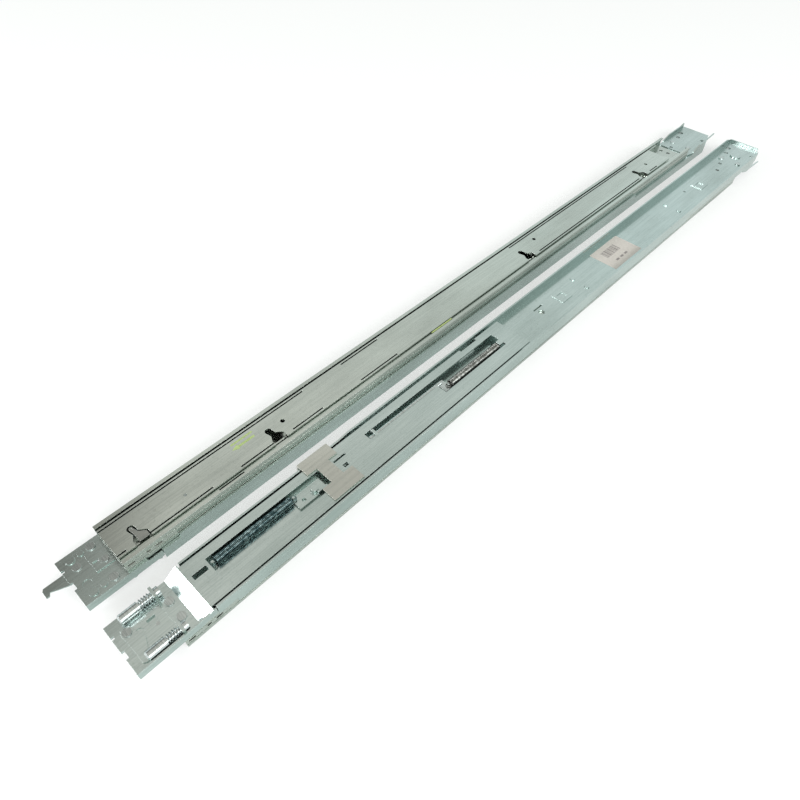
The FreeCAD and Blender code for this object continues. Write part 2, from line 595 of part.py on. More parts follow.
def release_rod():
    """Round rod under the panel, with a lug and the post of its spring."""
    body = new_body("release_rod")
    loop = [("rod_front", "0"), ("rod_front", "rod_rad"), ("rod_rear", "rod_rad"), ("rod_rear", "0")]
    revolve(body, loop, "spring_y", "rod_z")
    lug_rear = "(pull_post_front + post_rad + 0.2)"
    add_flat(body, [box("rod_rear - 4", lug_rear, "-3", "spring_y + 1.5")], "lug_z", "lug_z + lug_sheet")
    add_flat(body, [("circle", "pull_post_front", "0", "post_rad")], "pull_z - 1.5", "lug_z + 0.2")
    return body


def rear_channel():
    """Long channel under the panel, which carries the rear bracket."""
    body = new_body("rear_channel")
    rear = "channel_rear"
    low_end = "(saddle_front + saddle_long + 9)"
    low_wall = "saddle_sheet + move_gap"
    inner = "channel_half - channel_sheet"
    add_flat(body, [box("channel_front", rear, "-channel_half", "channel_half")], WEB, WEB_IN)
    add_flat(body, [box("channel_front", rear, "-channel_half", f"-({inner})")], "0", WEB_IN)
    wall = [("channel_front", low_wall), (low_end, low_wall), (f"{low_end} + wall_ramp", "0"), (rear, "0"),
            (rear, WEB_IN), ("channel_front", WEB_IN)]
    wall[3:4] = [(f"{rear} - end_slope", "0"), (rear, f"{WEB} - end_lip")]
    add_side(body, wall, inner, "channel_half")
    add_flat(body, [box(f"{rear} - channel_sheet", rear, "-channel_half + channel_corner_in", "channel_half")],
             f"{WEB} - end_lip", WEB_IN)
    # Flange beside the slide on the near wall
    add_flat(body, [box("flange_front", "flange_rear", "-channel_half", f"-({inner})")], WEB, "flange_top")
    # Long bump on the outside of the far wall
    add_side(body, box("336", "361", "2", "6.5"), "channel_half - 0.5", "channel_half + 1.2")
    corner = [(f"{rear} - channel_corner", "-channel_half - 1"), (f"{rear} + 1", "-channel_half - 1"),
              (f"{rear} + 1", "-channel_half + channel_corner_in"),
              (f"{rear}", "-channel_half + channel_corner_in")]
    cut_flat(body, [corner], "0", WEB_IN)
    # Long slots for the guide studs, which let the channel travel
    slots = []
    for along, across in STUDS:
        slots.append(box(f"{along} - depth_travel - stud_rad - stud_gap - 1", f"{along} + stud_rad + stud_gap",
                         f"{across} - stud_rad - stud_gap", f"{across} + stud_rad + stud_gap"))
    cut_flat(body, slots, WEB, WEB_IN)
    cut_flat(body, [("circle", "434", "0.7", "3"), ("circle", "channel_rear - 162", "6", "1.3"),
                    ("circle", "channel_rear - 67", "5.9", "2.2"), ("circle", "channel_rear - 85", "0.9", "2.2")], WEB, WEB_IN)
    cut_flat(body, [box("430", "443", "6.2", "7.6")], WEB, WEB_IN)
    # Raised squares, dimples and the round boss on the web
    for front in ("460", "channel_rear - 143"):
        add_flat(body, [box(front, f"{front} + 16", "-6.5", "7.5")], f"{WEB} - 0.7", WEB)
        cut_flat(body, [box(f"{front} + 4", f"{front} + 12", "-3", "4")], f"{WEB} - 1", WEB)
    dimples = [("circle", front, across, "2.6") for front in ("498", "channel_rear - 205") for across in ("-9", "8")]
    add_flat(body, dimples, f"{WEB} - 0.9", WEB)
    add_flat(body, [("circle", "rear_boss_at", "0", "rear_boss_rad")], f"{WEB} - rear_boss_tall", WEB)
    cut_flat(body, [("circle", along, across, "rear_hole_rad") for along, across in REAR_HOLES]
             + [("circle", along, across, "rivet_rad") for along, across in REAR_RIVETS], WEB, WEB_IN)
    cut_flat(body, [("circle", "rear_boss_at", "12.5", "rear_hole_rad - 0.5")], WEB, WEB_IN)
    return body


def rear_bracket():
    """Bracket on the channel's rear end, with a pointed wing at each side."""
    body = new_body("rear_bracket")
    rear = "channel_rear"
    top = f"({WEB_IN} + rear_sheet)"
    plate = [("rear_front", "-channel_half + 3"), ("rear_wing_front", "-channel_half"),
             (f"{rear} - channel_corner", "-channel_half"), (rear, "-channel_half + channel_corner_in"),
             (rear, "channel_half"), ("rear_wing_front", "channel_half"), ("rear_front", "channel_half - 3")]
    add_flat(body, [plate], WEB_IN, top)
    tip = f"({rear} - 5)"
    wing = [("rear_wing_front", WEB_IN), (tip, WEB_IN), (tip, f"{WEB_IN} + rear_tip_top"),
            (f"{tip} - rear_tip_long", f"{WEB_IN} + rear_wing_top"),
            ("rear_wing_front + 14", f"{WEB_IN} + rear_wing_top"), ("rear_wing_front", f"{top} + 1")]
    add_side(body, wing, "channel_half - rear_sheet", "channel_half")
    near_rear = f"({rear} - channel_corner)"
    near = [("rear_wing_front", WEB_IN), (near_rear, WEB_IN), (near_rear, f"{WEB_IN} + rear_wing_top"),
            (tip, f"{WEB_IN} + rear_tip_top"), (tip, f"{WEB_IN} + rear_tip_top + 1"),
            (f"{near_rear} - 2", f"{WEB_IN} + rear_wing_top + 1"),
            ("rear_wing_front + 14", f"{WEB_IN} + rear_wing_top + 1"), ("rear_wing_front", f"{top} + 1")]
    add_side(body, near, "-channel_half", "-channel_half + rear_sheet")
    cut_flat(body, [("circle", along, across, "rear_hole_rad") for along, across in REAR_HOLES]
             + [("circle", along, across, "rivet_rad") for along, across in REAR_RIVETS]
             + [("circle", "rear_boss_at", "12.5", "rear_hole_rad - 0.5"),
                ("circle", "channel_rear - 67", "5.9", "2.2")],
             WEB_IN, top)
    return body


def rear_rivets():
    """Rivets that join the rear bracket to the channel."""
    body = new_body("rear_rivets")
    top = f"({WEB_IN} + rear_sheet)"
    add_flat(body, [("circle", along, across, "rivet_rad") for along, across in REAR_RIVETS], WEB, top)
    add_flat(body, [("circle", along, across, "rivet_head") for along, across in REAR_RIVETS],
             f"{WEB} - rivet_tall", WEB)
    add_flat(body, [("circle", along, across, "rivet_head") for along, across in REAR_RIVETS],
             top, f"{top} + rivet_tall")
    return body


def guide_studs():
    """Studs that hold the panel to the slide through the channel's slots."""
    body = new_body("guide_studs")
    add_flat(body, [("circle", along, across, "stud_rad") for along, across in STUDS], PANEL_IN, SEAT)
    return body


def both_sides(loop):
    """An end section and its mirror image."""
    return [loop, [(f"-({across})", height) for across, height in loop]]


def slide_outer():
    """Outer slide member, with lips over the middle member and races for the balls."""
    body = new_body("slide_outer")
    top = f"({FACE} - lip_drop)"
    lip_in = "slide_half - slide_lip"
    section = [("-slide_half", SEAT), ("slide_half", SEAT), ("slide_half", top), (lip_in, top),
               (lip_in, f"{top} - slide_sheet + 0.1"), (OUTER_WALL, f"{top} - slide_sheet + 0.1"),
               (OUTER_WALL, f"{SEAT} + slide_sheet"), (f"-{OUTER_WALL}", f"{SEAT} + slide_sheet"),
               (f"-{OUTER_WALL}", f"{top} - slide_sheet + 0.1"), (f"-({lip_in})", f"{top} - slide_sheet + 0.1"),
               (f"-({lip_in})", top), ("-slide_half", top)]
    add_end(body, [section], "slide_front", "slide_rear")
    cut_end(body, [("circle", side + OUTER_BALL, OUTER_BALL_Z, RACE_RAD) for side in ("", "-")],
            "slide_front", "slide_rear")
    # Rolled grooves along the outside of both walls, above and below the race
    wall = "slide_half - groove_deep"
    for low in (f"{OUTER_BALL_Z} - 3", f"{OUTER_BALL_Z} + 1.8"):
        cut_end(body, [box(wall, "slide_half + 1", low, f"{low} + groove_wide"),
                       box("-slide_half - 1", f"-({wall})", low, f"{low} + groove_wide")], "slide_front", "slide_rear")
    cut_flat(body, [("circle", along, across, "rivet_rad") for along, across in SLIDE_RIVETS]
             + [("circle", "slide_rear - 10", "0.9", "2.2"), ("circle", "slide_rear - 10", "11", "2.2")], SEAT, f"{SEAT} + slide_sheet")
    # Small slots in the near wall and a notch in the near lip
    low = f"{OUTER_BALL_Z} - 1"
    high = f"{OUTER_BALL_Z} + 1"
    dashes = [box(front, rear, low, high) for front, rear in (("22", "27"), ("36", "39"), ("43", "48"))]
    cut(body, "XZ_Plane", dashes, "slide_half", "slide_sheet + 0.2")
    cut_flat(body, [box("98.6", "121", f"-({lip_in}) - 1.2", f"-({lip_in}) + 1")], f"{top} - slide_sheet", top)
    return body


def slide_middle():
    """Middle slide member, which runs between the two rows of balls on each side."""
    body = new_body("slide_middle")
    top = f"({SEAT} + middle_top)"
    floor = f"({MIDDLE_WEB} + slide_sheet)"
    section = [(f"-{MIDDLE_HALF}", MIDDLE_WEB), (MIDDLE_HALF, MIDDLE_WEB), (MIDDLE_HALF, top), (MIDDLE_WALL, top),
               (MIDDLE_WALL, floor), (f"-{MIDDLE_WALL}", floor), (f"-{MIDDLE_WALL}", top), (f"-{MIDDLE_HALF}", top)]
    add_end(body, [section], "slide_front", "middle_rear")
    cut_end(body, [("circle", side + OUTER_BALL, OUTER_BALL_Z, RACE_RAD) for side in ("", "-")]
            + [("circle", side + INNER_BALL, INNER_BALL_Z, RACE_RAD) for side in ("", "-")],
            "slide_front", "middle_rear")
    return body


def inner_slots():
    """The narrow slots along the edges of the inner member's face."""
    far = [("slide_front - 1", "203"), ("246", "290"), ("484", "inner_rear - 57")]
    near = [("slide_front - 1", "27"), ("41", "97"), ("122", "156"), ("172", "203"), ("246", "290"),
            ("503", "inner_rear - 70"), ("inner_rear - 45", "inner_rear - 27")]
    slots = [box(front, rear, INNER_HALF, f"{INNER_HALF} + edge_slot") for front, rear in far]
    slots += [box(front, rear, f"-{INNER_HALF} - edge_slot", f"-{INNER_HALF}") for front, rear in near]
    return slots


def slide_inner():
    """Inner slide member with the face that the server hangs on."""
    body = new_body("slide_inner")
    section = [(f"-{INNER_HALF}", INNER_EDGE), (f"-{INNER_WALL}", INNER_EDGE), (f"-{INNER_WALL}", FACE_BACK),
               (INNER_WALL, FACE_BACK), (INNER_WALL, INNER_EDGE), (INNER_HALF, INNER_EDGE), (INNER_HALF, FACE_BACK),
               ("face_half", FACE_BACK), ("face_half", FACE), ("-face_half", FACE), ("-face_half", FACE_BACK),
               (f"-{INNER_HALF}", FACE_BACK)]
    add_end(body, [section], "slide_front", "inner_rear")
    cut_end(body, [("circle", side + INNER_BALL, INNER_BALL_Z, RACE_RAD) for side in ("", "-")],
            "slide_front", "inner_rear")
    for slot in inner_slots():
        cut_flat(body, [slot], FACE_BACK, FACE)
    # Four hooked slots for the server's studs, open at the edge that is up in the rack
    deep = f"{FACE} - 4.2"
    for seat in STUD_SEATS:
        left = [(f"{seat} - slot_rad", "slot_y"), (f"{seat} - 1.5", "slot_y - 5.5"), (f"{seat} - 4", "slot_y - 10"),
                (f"{seat} - 4", "-face_half - 1")]
        right = [(f"{seat} + 8.2", "-face_half - 1"), (f"{seat} + 8.2", "slot_y - 8"),
                 (f"{seat} + 3.2", "slot_y - 4.2"), (f"{seat} + slot_rad", "slot_y")]
        cut_flat(body, [left + right], deep, FACE)
        cut_flat(body, [("circle", seat, "slot_y", "slot_rad")], deep, FACE)
    cut_flat(body, [("circle", "171.6", "-0.2", "1.9"), ("circle", "515.8", "3.7", "1.9"),
                    ("circle", "channel_rear - 153.1", "-1", "1.9")], FACE_BACK, FACE)
    # Rivet hole of the leaf spring
    cut_flat(body, [("circle", "leaf_rear - leaf_foot / 2", "leaf_y", "rivet_rad - 0.3")], FACE_BACK, FACE)
    return body


def ball_places(front):
    """Places of one row of balls along the rail."""
    return [f"({front} + cage_end + {step} * ball_pitch)" for step in range(int(number("ball_count")))]


def ball_cage(label, front, across, web, height):
    """Sheet strip round both rows of balls."""
    body = new_body(label)
    rear = f"({front} + 2 * cage_end + (ball_count - 1) * ball_pitch)"
    out = f"({across} + cage_sheet / 2)"
    inn = f"({across} - cage_sheet / 2)"
    top = f"({height} + ball_rad + 1)"
    floor = f"({web} + cage_sheet)"
    section = [(f"-{out}", web), (out, web), (out, top), (inn, top), (inn, floor), (f"-{inn}", floor),
               (f"-{inn}", top), (f"-{out}", top)]
    add_end(body, [section], front, rear)
    holes = [("circle", place, height, "ball_rad + 0.05") for place in ball_places(front)]
    cut(body, "XZ_Plane", holes, f"{out} + 1", f"2 * {out} + 2")
    return body


def ball_row(label, front, across, height):
    """The balls of both rows, as separate solids."""
    centres = []
    for side in (-1, 1):
        for place in ball_places(front):
            centres.append(V(number(place), side * number(across), number(height)))
    balls = [Part.makeSphere(number("ball_rad"), centre) for centre in centres]
    feature = doc.addObject("Part::Feature", label)
    feature.Label = label
    feature.Shape = Part.makeCompound(balls)
    return feature


def stud_latch():
    """Press-in latch that closes the first stud slot."""
    body = new_body("stud_latch")
    rad = "(slot_rad - latch_slit)"
    outline = [(f"latch_at - {rad}", "slot_y"), ("latch_at - 0.6", "slot_y - 5.5"), ("latch_at - 0.6", "latch_low"),
               ("latch_at + 7.2", "latch_low"), ("latch_at + 7.2", "slot_y - 8.4"),
               ("latch_at + 2.3", "slot_y - 4.6"), (f"latch_at + {rad}", "slot_y")]
    add_flat(body, [outline], FACE_BACK, FACE)
    add_flat(body, [("circle", "latch_at", "slot_y", rad)], FACE_BACK, FACE)
    cut_flat(body, [box("latch_at - 0.8", "latch_at + 0.8", "slot_y - 2", "slot_y + 0.6")], f"{FACE} - 0.6", FACE)
    return body


def leaf_spring():
    """Leaf spring that carries the stud latch, with a riveted foot behind the face."""
    body = new_body("leaf_spring")
    high = f"({FACE_BACK} - leaf_lift)"
    low = f"({high} - leaf_sheet)"
    side = ("leaf_y - leaf_half", "leaf_y + leaf_half")
    front = "(latch_at - 1)"
    add_flat(body, [box(front, "leaf_rear", *side)], low, high)
    add_flat(body, [box("leaf_rear - leaf_foot", "leaf_rear", *side)], low, FACE_BACK)
    add_flat(body, [box(front, f"{front} + 2.6", *side)], low, f"{FACE_BACK} - 0.1")
    add_flat(body, [("circle", "leaf_rear - leaf_foot / 2", "leaf_y", "rivet_rad - 0.4")], low, FACE)
    return body


def release_tab():
    """Sliding tab at the edge of the face, which frees the inner member."""
    body = new_body("release_tab")
    edge = "(-face_half - tab_gap)"
    low = f"({FACE} - lip_drop - tab_tall)"
    add_flat(body, [box("tab_front", "tab_front + tab_long", f"{edge} - tab_wide", edge)], low, f"{low} + tab_tall")
    return body


PIECES = [front_bracket(), guide_saddle(), peg_bracket(), peg("upper"), peg("lower"), peg_spring("upper"),
          peg_spring("lower"), bracket_rivets(), hook_latch(), latch_rivet(), latch_guard(), lock_slider(), lock_spring(),
          release_rod(), pull_spring(), rear_channel(), rear_bracket(), rear_rivets(), guide_studs(),
          slide_outer(), ball_cage("outer_ball_cage", "outer_cage_front", OUTER_BALL, OUTER_CAGE, OUTER_BALL_Z),
          ball_row("outer_balls", "outer_cage_front", OUTER_BALL, OUTER_BALL_Z), slide_middle(),
          ball_cage("inner_ball_cage", "inner_cage_front", INNER_BALL, INNER_CAGE, INNER_BALL_Z),
          ball_row("inner_balls", "inner_cage_front", INNER_BALL, INNER_BALL_Z), slide_inner(),
          stud_latch(), leaf_spring(), release_tab()]
doc.recompute()

# The two rails lie side by side, with the middle of the pair's box over the origin
SHIFT_X = "-(hook_tip + channel_rear) / 2"
RIGHT_Y = "(rail_pitch + channel_half - saddle_reach) / 2"
LEFT_Y = "(channel_half - saddle_reach - rail_pitch) / 2"
nodes = []
for piece in PIECES:
    name = piece.Label
    left = doc.addObject("Part::Mirroring", "left_" + name)
    left.Label = "left_" + name
    left.Source = piece
    left.Normal = V(0, 0, 1)
    left.setExpression("Base.z", bound(f"({FACE}) / 2"))
    left_x = SHIFT_X
    left_y = LEFT_Y
    if name == "hook_latch":
        # The left latch is turned in behind its plate, by a quarter turn round its pivot
        left.Placement = FreeCAD.Placement(V(0, 0, 0), FreeCAD.Rotation(V(0, 0, 1), 90))
        left_x += " + hook_at + hook_y"
        left_y += " + hook_y - hook_at"
    left.setExpression("Placement.Base.x", bound(left_x))
    left.setExpression("Placement.Base.y", bound(left_y))
    right = doc.addObject("Part::Feature", "right_" + name)
    right.Label = "right_" + name
    right.Shape = piece.Shape.copy()
    right.Placement = FreeCAD.Placement(V(number(SHIFT_X), number(RIGHT_Y), 0), FreeCAD.Rotation())
    nodes += [left, right]
doc.recompute()

for item in doc.Objects:
    if "Invalid" in item.State or "Error" in item.State:
        raise RuntimeError(f"{item.Label} failed: {item.State} {item.getStatusString()}")
for node in nodes:
    if node.Shape.isNull() or not node.Shape.isValid():
        raise RuntimeError(f"{node.Label} has no valid shape")
os.makedirs("parts", exist_ok=True)
for node in nodes:
    node.Shape.exportStep(os.path.join("parts", node.Label + ".step"))
    box_size = node.Shape.BoundBox
    print(node.Label, len(node.Shape.Solids), round(node.Shape.Volume, 1), box_size)
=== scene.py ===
# %% [markdown]
# # Sliding server rail pair
# Two telescopic rails that lie side by side, as they come out of their box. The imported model
# already gives every sheet part, slide, peg and latch at its real size, so their shapes stay as
# they are. This script gives them plated steel, winds the long springs from real wire, lays a
# paper label and a printed mark on the steel, and sets up the floor, the light and the camera.
# Blender works in metres here, and MM turns millimetres into metres.

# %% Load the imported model
import math

import bpy
from mathutils import Matrix, Vector


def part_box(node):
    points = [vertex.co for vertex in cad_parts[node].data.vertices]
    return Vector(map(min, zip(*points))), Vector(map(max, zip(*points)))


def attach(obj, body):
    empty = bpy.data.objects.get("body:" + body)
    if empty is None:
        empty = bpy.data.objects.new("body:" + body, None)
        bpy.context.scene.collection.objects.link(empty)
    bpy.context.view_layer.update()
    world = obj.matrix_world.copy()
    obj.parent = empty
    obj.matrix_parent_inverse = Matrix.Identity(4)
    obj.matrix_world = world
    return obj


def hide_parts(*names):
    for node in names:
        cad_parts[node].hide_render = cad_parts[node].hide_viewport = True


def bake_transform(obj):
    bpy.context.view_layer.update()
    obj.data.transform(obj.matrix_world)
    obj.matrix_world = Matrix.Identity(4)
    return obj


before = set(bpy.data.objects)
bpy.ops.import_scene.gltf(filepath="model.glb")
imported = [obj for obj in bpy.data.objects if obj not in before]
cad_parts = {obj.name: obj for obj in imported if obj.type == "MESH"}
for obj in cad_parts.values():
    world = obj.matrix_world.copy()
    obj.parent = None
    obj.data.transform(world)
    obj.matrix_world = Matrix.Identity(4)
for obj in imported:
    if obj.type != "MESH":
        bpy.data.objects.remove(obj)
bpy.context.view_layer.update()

MM = 0.001
print("loaded", len(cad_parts), "nodes")

# %% [markdown]
# ## How the materials are written
# A material is a small graph of nodes. Each node could be added with three or four lines, but the
# wiring would then drown the idea, so one function adds a node, sets its inputs and joins its
# links, and each finish below reads from the coordinates down to the shader. Colours are given as
# they look on a screen (hex) and turned into linear light, which is what the shader expects.

# %% Colours and nodes
def linear(text):
    """A hex colour as linear red, green, blue and alpha."""
    parts = [int(text[i:i + 2], 16) / 255 for i in (1, 3, 5)]
    return [c / 12.92 if c <= 0.04045 else ((c + 0.055) / 1.055) ** 2.4 for c in parts] + [1.0]


def add(tree, kind, inputs=None, stops=None, **settings):
    """A node with its settings, its inputs (values or sockets) and the colour stops of a ramp."""
    node = tree.nodes.new(kind)
    for name, value in settings.items():
        setattr(node, name, value)
    for name, value in (inputs or {}).items():
        if isinstance(value, bpy.types.NodeSocket):
            tree.links.new(value, node.inputs[name])
        else:
            node.inputs[name].default_value = value
    for place, (position, colour) in enumerate(stops or []):
        if place > 1:
            node.color_ramp.elements.new(position)
        node.color_ramp.elements[place].position = position
        node.color_ramp.elements[place].color = linear(colour)
    return node.outputs


# The mix node keeps one set of sockets for each kind of data, and these are its colour sockets
MIX_SHARE, MIX_FIRST, MIX_SECOND, MIX_RESULT = 0, 6, 7, 2


def start_material(name):
    """A material, its empty tree, and coordinates in millimetres."""
    material = bpy.data.materials.new(name)
    material.use_nodes = True
    tree = material.node_tree
    tree.nodes.clear()
    place = add(tree, "ShaderNodeTexCoord")["Object"]
    millimetres = add(tree, "ShaderNodeMapping",
                      {"Vector": place, "Scale": (1 / MM, 1 / MM, 1 / MM)})["Vector"]
    return material, tree, millimetres


print("node helper ready")

# %% [markdown]
# ## Plated sheet
# The rails are punched from rolled strip and plated with bright zinc. Rolling leaves fine lines
# along the rail, the bath leaves wide, very soft clouds, and handling leaves small dull marks. An
# image texture would show its pixels close up, so all three are noise: stretched along the rail
# for the lines, large for the clouds and small for the marks. The same noise drives the colour,
# the roughness and a slight bump, so a dull spot is dull in every way. The side walls get painted
# shade: a darker tint chosen by the direction of the surface, which stands in for the darker
# reflections they show. A bevel in the shading rounds the punched edges without touching the mesh.

# %% Plated sheet
CLOUD_MM = 40
# Real rolling lines are about 0.1 mm apart. They are drawn coarser, so that the image still
# shows them.
LINE_MM = 0.9
MARK_MM = 2.2
CLOUD_STRETCH = (0.4, 1, 1)
LINE_STRETCH = (0.015, 1, 1)
PUNCHED_EDGE = 0.2 * MM
BUMP_DEPTH = 0.05 * MM


def plated_sheet(name, dull, clean, satin, matt):
    """Zinc on rolled sheet, between two colours and two roughnesses."""
    material, tree, place = start_material(name)
    along = add(tree, "ShaderNodeMapping", {"Vector": place, "Scale": CLOUD_STRETCH})["Vector"]
    clouds = add(tree, "ShaderNodeTexNoise",
                 {"Vector": along, "Scale": 1 / CLOUD_MM, "Detail": 5.0})["Fac"]
    rolled = add(tree, "ShaderNodeMapping", {"Vector": place, "Scale": LINE_STRETCH})["Vector"]
    lines = add(tree, "ShaderNodeTexNoise",
                {"Vector": rolled, "Scale": 1 / LINE_MM, "Detail": 2.0})["Fac"]
    marks = add(tree, "ShaderNodeTexNoise",
                {"Vector": place, "Scale": 1 / MARK_MM, "Detail": 6.0, "Roughness": 0.65})["Fac"]

    # Clouds less a little of the marks give the tone, from dull to clean
    worn = add(tree, "ShaderNodeMapRange",
               {"Value": marks, "From Min": 0.52, "From Max": 0.70})["Result"]
    cloudy = add(tree, "ShaderNodeMath", {0: worn, 1: -0.15, 2: clouds},
                 operation="MULTIPLY_ADD")["Value"]
    tone = add(tree, "ShaderNodeMapRange",
               {"Value": cloudy, "From Min": 0.30, "From Max": 0.62})["Result"]
    colour = add(tree, "ShaderNodeValToRGB", {"Fac": tone}, [(0.0, dull), (1.0, clean)])["Color"]

    # Rolling lines over it
    streaks = add(tree, "ShaderNodeValToRGB", {"Fac": lines},
                  [(0.35, "#D8DBDB"), (0.60, "#FFFFFF")])["Color"]
    plated = add(tree, "ShaderNodeMix",
                 {MIX_SHARE: 0.35, MIX_FIRST: colour, MIX_SECOND: streaks},
                 data_type="RGBA", blend_type="MULTIPLY")[MIX_RESULT]

    # Side walls, which face across the rail, get painted shade: a darker tint by the direction of
    # the surface, standing in for their darker reflections
    facing = add(tree, "ShaderNodeTexCoord")["Normal"]
    across = add(tree, "ShaderNodeSeparateXYZ", {"Vector": facing})["Y"]
    wall_shade_mask = add(tree, "ShaderNodeMath", {0: across}, operation="ABSOLUTE")["Value"]
    painted_wall_shade = add(tree, "ShaderNodeValToRGB", {"Fac": wall_shade_mask},
                 [(0.6, "#FFFFFF"), (0.9, "#D0DAD6")])["Color"]
    plated = add(tree, "ShaderNodeMix",
                 {MIX_SHARE: 1.0, MIX_FIRST: plated, MIX_SECOND: painted_wall_shade},
                 data_type="RGBA", blend_type="MULTIPLY")[MIX_RESULT]

    gloss = add(tree, "ShaderNodeMapRange",
                {"Value": tone, "To Min": matt, "To Max": satin})["Result"]
    edge = add(tree, "ShaderNodeBevel", {"Radius": PUNCHED_EDGE}, samples=4)["Normal"]
    strip = add(tree, "ShaderNodeBump",
                {"Height": lines, "Strength": 0.06, "Distance": BUMP_DEPTH,
                 "Normal": edge})["Normal"]
    dents = add(tree, "ShaderNodeBump",
                {"Height": marks, "Strength": 0.06, "Distance": BUMP_DEPTH,
                 "Normal": strip})["Normal"]
    shader = add(tree, "ShaderNodeBsdfPrincipled",
                 {"Base Color": plated, "Metallic": 1.0, "Roughness": gloss,
                  "Normal": dents})["BSDF"]
    add(tree, "ShaderNodeOutputMaterial", {"Surface": shader})
    return material


ZINC = plated_sheet("zinc_plated_steel_sheet", "#BBC6C3", "#D2DCDA", 0.18, 0.30)
ZINC_SLIDE = plated_sheet("zinc_plated_slide_steel", "#BFC3BD", "#D6DAD4", 0.18, 0.28)
# The saddle is the same plated zinc with a warmer tint, a painted reflection of how its raised plate
# reflects the room
ZINC_PAINTED_WARM_REFLECTION = plated_sheet("zinc_saddle_steel_painted_warm_reflection", "#BFBEB7", "#D2D1CA", 0.24, 0.34)
ZINC_GREY = plated_sheet("zinc_plated_latch_steel", "#8E908D", "#B9BAB6", 0.24, 0.40)
print("four plated sheets")

# %% [markdown]
# ## Turned steel
# Pegs, studs and the release rod are turned on a lathe and plated. The tool leaves fine rings
# round the axis, and the axis of every turned piece here runs along the rail, so the noise is
# squeezed along the rail and stretched across it. A wave texture would give rings too, but too
# regular ones.

# %% Turned steel
# Real tool marks are near 0.1 mm and are drawn coarser for the same reason
RING_MM = 0.4
RING_STRETCH = (1, 0.03, 0.03)


def turned_steel():
    """Turned, plated steel with rings across the rail's length."""
    material, tree, place = start_material("turned_zinc_plated_steel")
    round_axis = add(tree, "ShaderNodeMapping", {"Vector": place, "Scale": RING_STRETCH})["Vector"]
    rings = add(tree, "ShaderNodeTexNoise",
                {"Vector": round_axis, "Scale": 1 / RING_MM, "Detail": 2.0})["Fac"]
    colour = add(tree, "ShaderNodeValToRGB", {"Fac": rings},
                 [(0.3, "#A5ACAB"), (0.7, "#DCE1E0")])["Color"]
    gloss = add(tree, "ShaderNodeMapRange",
                {"Value": rings, "To Min": 0.34, "To Max": 0.16})["Result"]
    edge = add(tree, "ShaderNodeBevel", {"Radius": PUNCHED_EDGE}, samples=4)["Normal"]
    ridges = add(tree, "ShaderNodeBump",
                 {"Height": rings, "Strength": 0.25, "Distance": 0.03 * MM,
                  "Normal": edge})["Normal"]
    shader = add(tree, "ShaderNodeBsdfPrincipled",
                 {"Base Color": colour, "Metallic": 1.0, "Roughness": gloss,
                  "Normal": ridges})["BSDF"]
    add(tree, "ShaderNodeOutputMaterial", {"Surface": shader})
    return material


TURNED = turned_steel()
print("turned steel")

# %% [markdown]
# ## Spring wire
# The long springs are oil-hardened wire, nearly black with a teal cast, and rubbed bright in
# places. The wear comes from a noise of a few millimetres that lifts the colour and the gloss
# together. The small springs are plated, so they use the same graph with paler colours.

# %% Spring wire
WEAR_MM = 3


def spring_steel(name, skin, worn, satin, matt):
    """Spring wire with a skin colour that is worn to a brighter one in places."""
    material, tree, place = start_material(name)
    wear = add(tree, "ShaderNodeTexNoise",
               {"Vector": place, "Scale": 1 / WEAR_MM, "Detail": 5.0})["Fac"]
    colour = add(tree, "ShaderNodeValToRGB", {"Fac": wear}, [(0.40, skin), (0.75, worn)])["Color"]
    gloss = add(tree, "ShaderNodeMapRange",
                {"Value": wear, "To Min": matt, "To Max": satin})["Result"]
    drawn = add(tree, "ShaderNodeBump",
                {"Height": wear, "Strength": 0.15, "Distance": BUMP_DEPTH})["Normal"]
    shader = add(tree, "ShaderNodeBsdfPrincipled",
                 {"Base Color": colour, "Metallic": 1.0, "Roughness": gloss,
                  "Normal": drawn})["BSDF"]
    add(tree, "ShaderNodeOutputMaterial", {"Surface": shader})
    return material


DARK_WIRE = spring_steel("oil_hardened_spring_wire", "#3C5052", "#93A5A5", 0.20, 0.34)
RUBBED_WIRE = spring_steel("rubbed_spring_wire", "#787975", "#BBBCB8", 0.18, 0.32)
BRIGHT_WIRE = spring_steel("plated_spring_steel", "#7E8685", "#BCC3C2", 0.20, 0.36)
print("three spring steels")

# %% [markdown]
# ## Balls, nylon, paper and ink
# These finishes differ only in grain size, colours, gloss and whether they are metal, so one
# graph serves them all: a noise in the real grain size between two close colours. A plain colour
# would do from afar, but it looks like plastic in a close view.

# %% Balls, nylon, paper and ink
def plain_finish(name, dark, light, grain_mm, satin, matt, metal, relief):
    """An even finish with a fine grain."""
    material, tree, place = start_material(name)
    grain = add(tree, "ShaderNodeTexNoise",
                {"Vector": place, "Scale": 1 / grain_mm, "Detail": 5.0})["Fac"]
    colour = add(tree, "ShaderNodeValToRGB", {"Fac": grain}, [(0.3, dark), (0.7, light)])["Color"]
    gloss = add(tree, "ShaderNodeMapRange",
                {"Value": grain, "To Min": satin, "To Max": matt})["Result"]
    texture = add(tree, "ShaderNodeBump",
                  {"Height": grain, "Strength": relief, "Distance": 0.1 * MM})["Normal"]
    shader = add(tree, "ShaderNodeBsdfPrincipled",
                 {"Base Color": colour, "Metallic": metal, "Roughness": gloss,
                  "Normal": texture})["BSDF"]
    add(tree, "ShaderNodeOutputMaterial", {"Surface": shader})
    return material


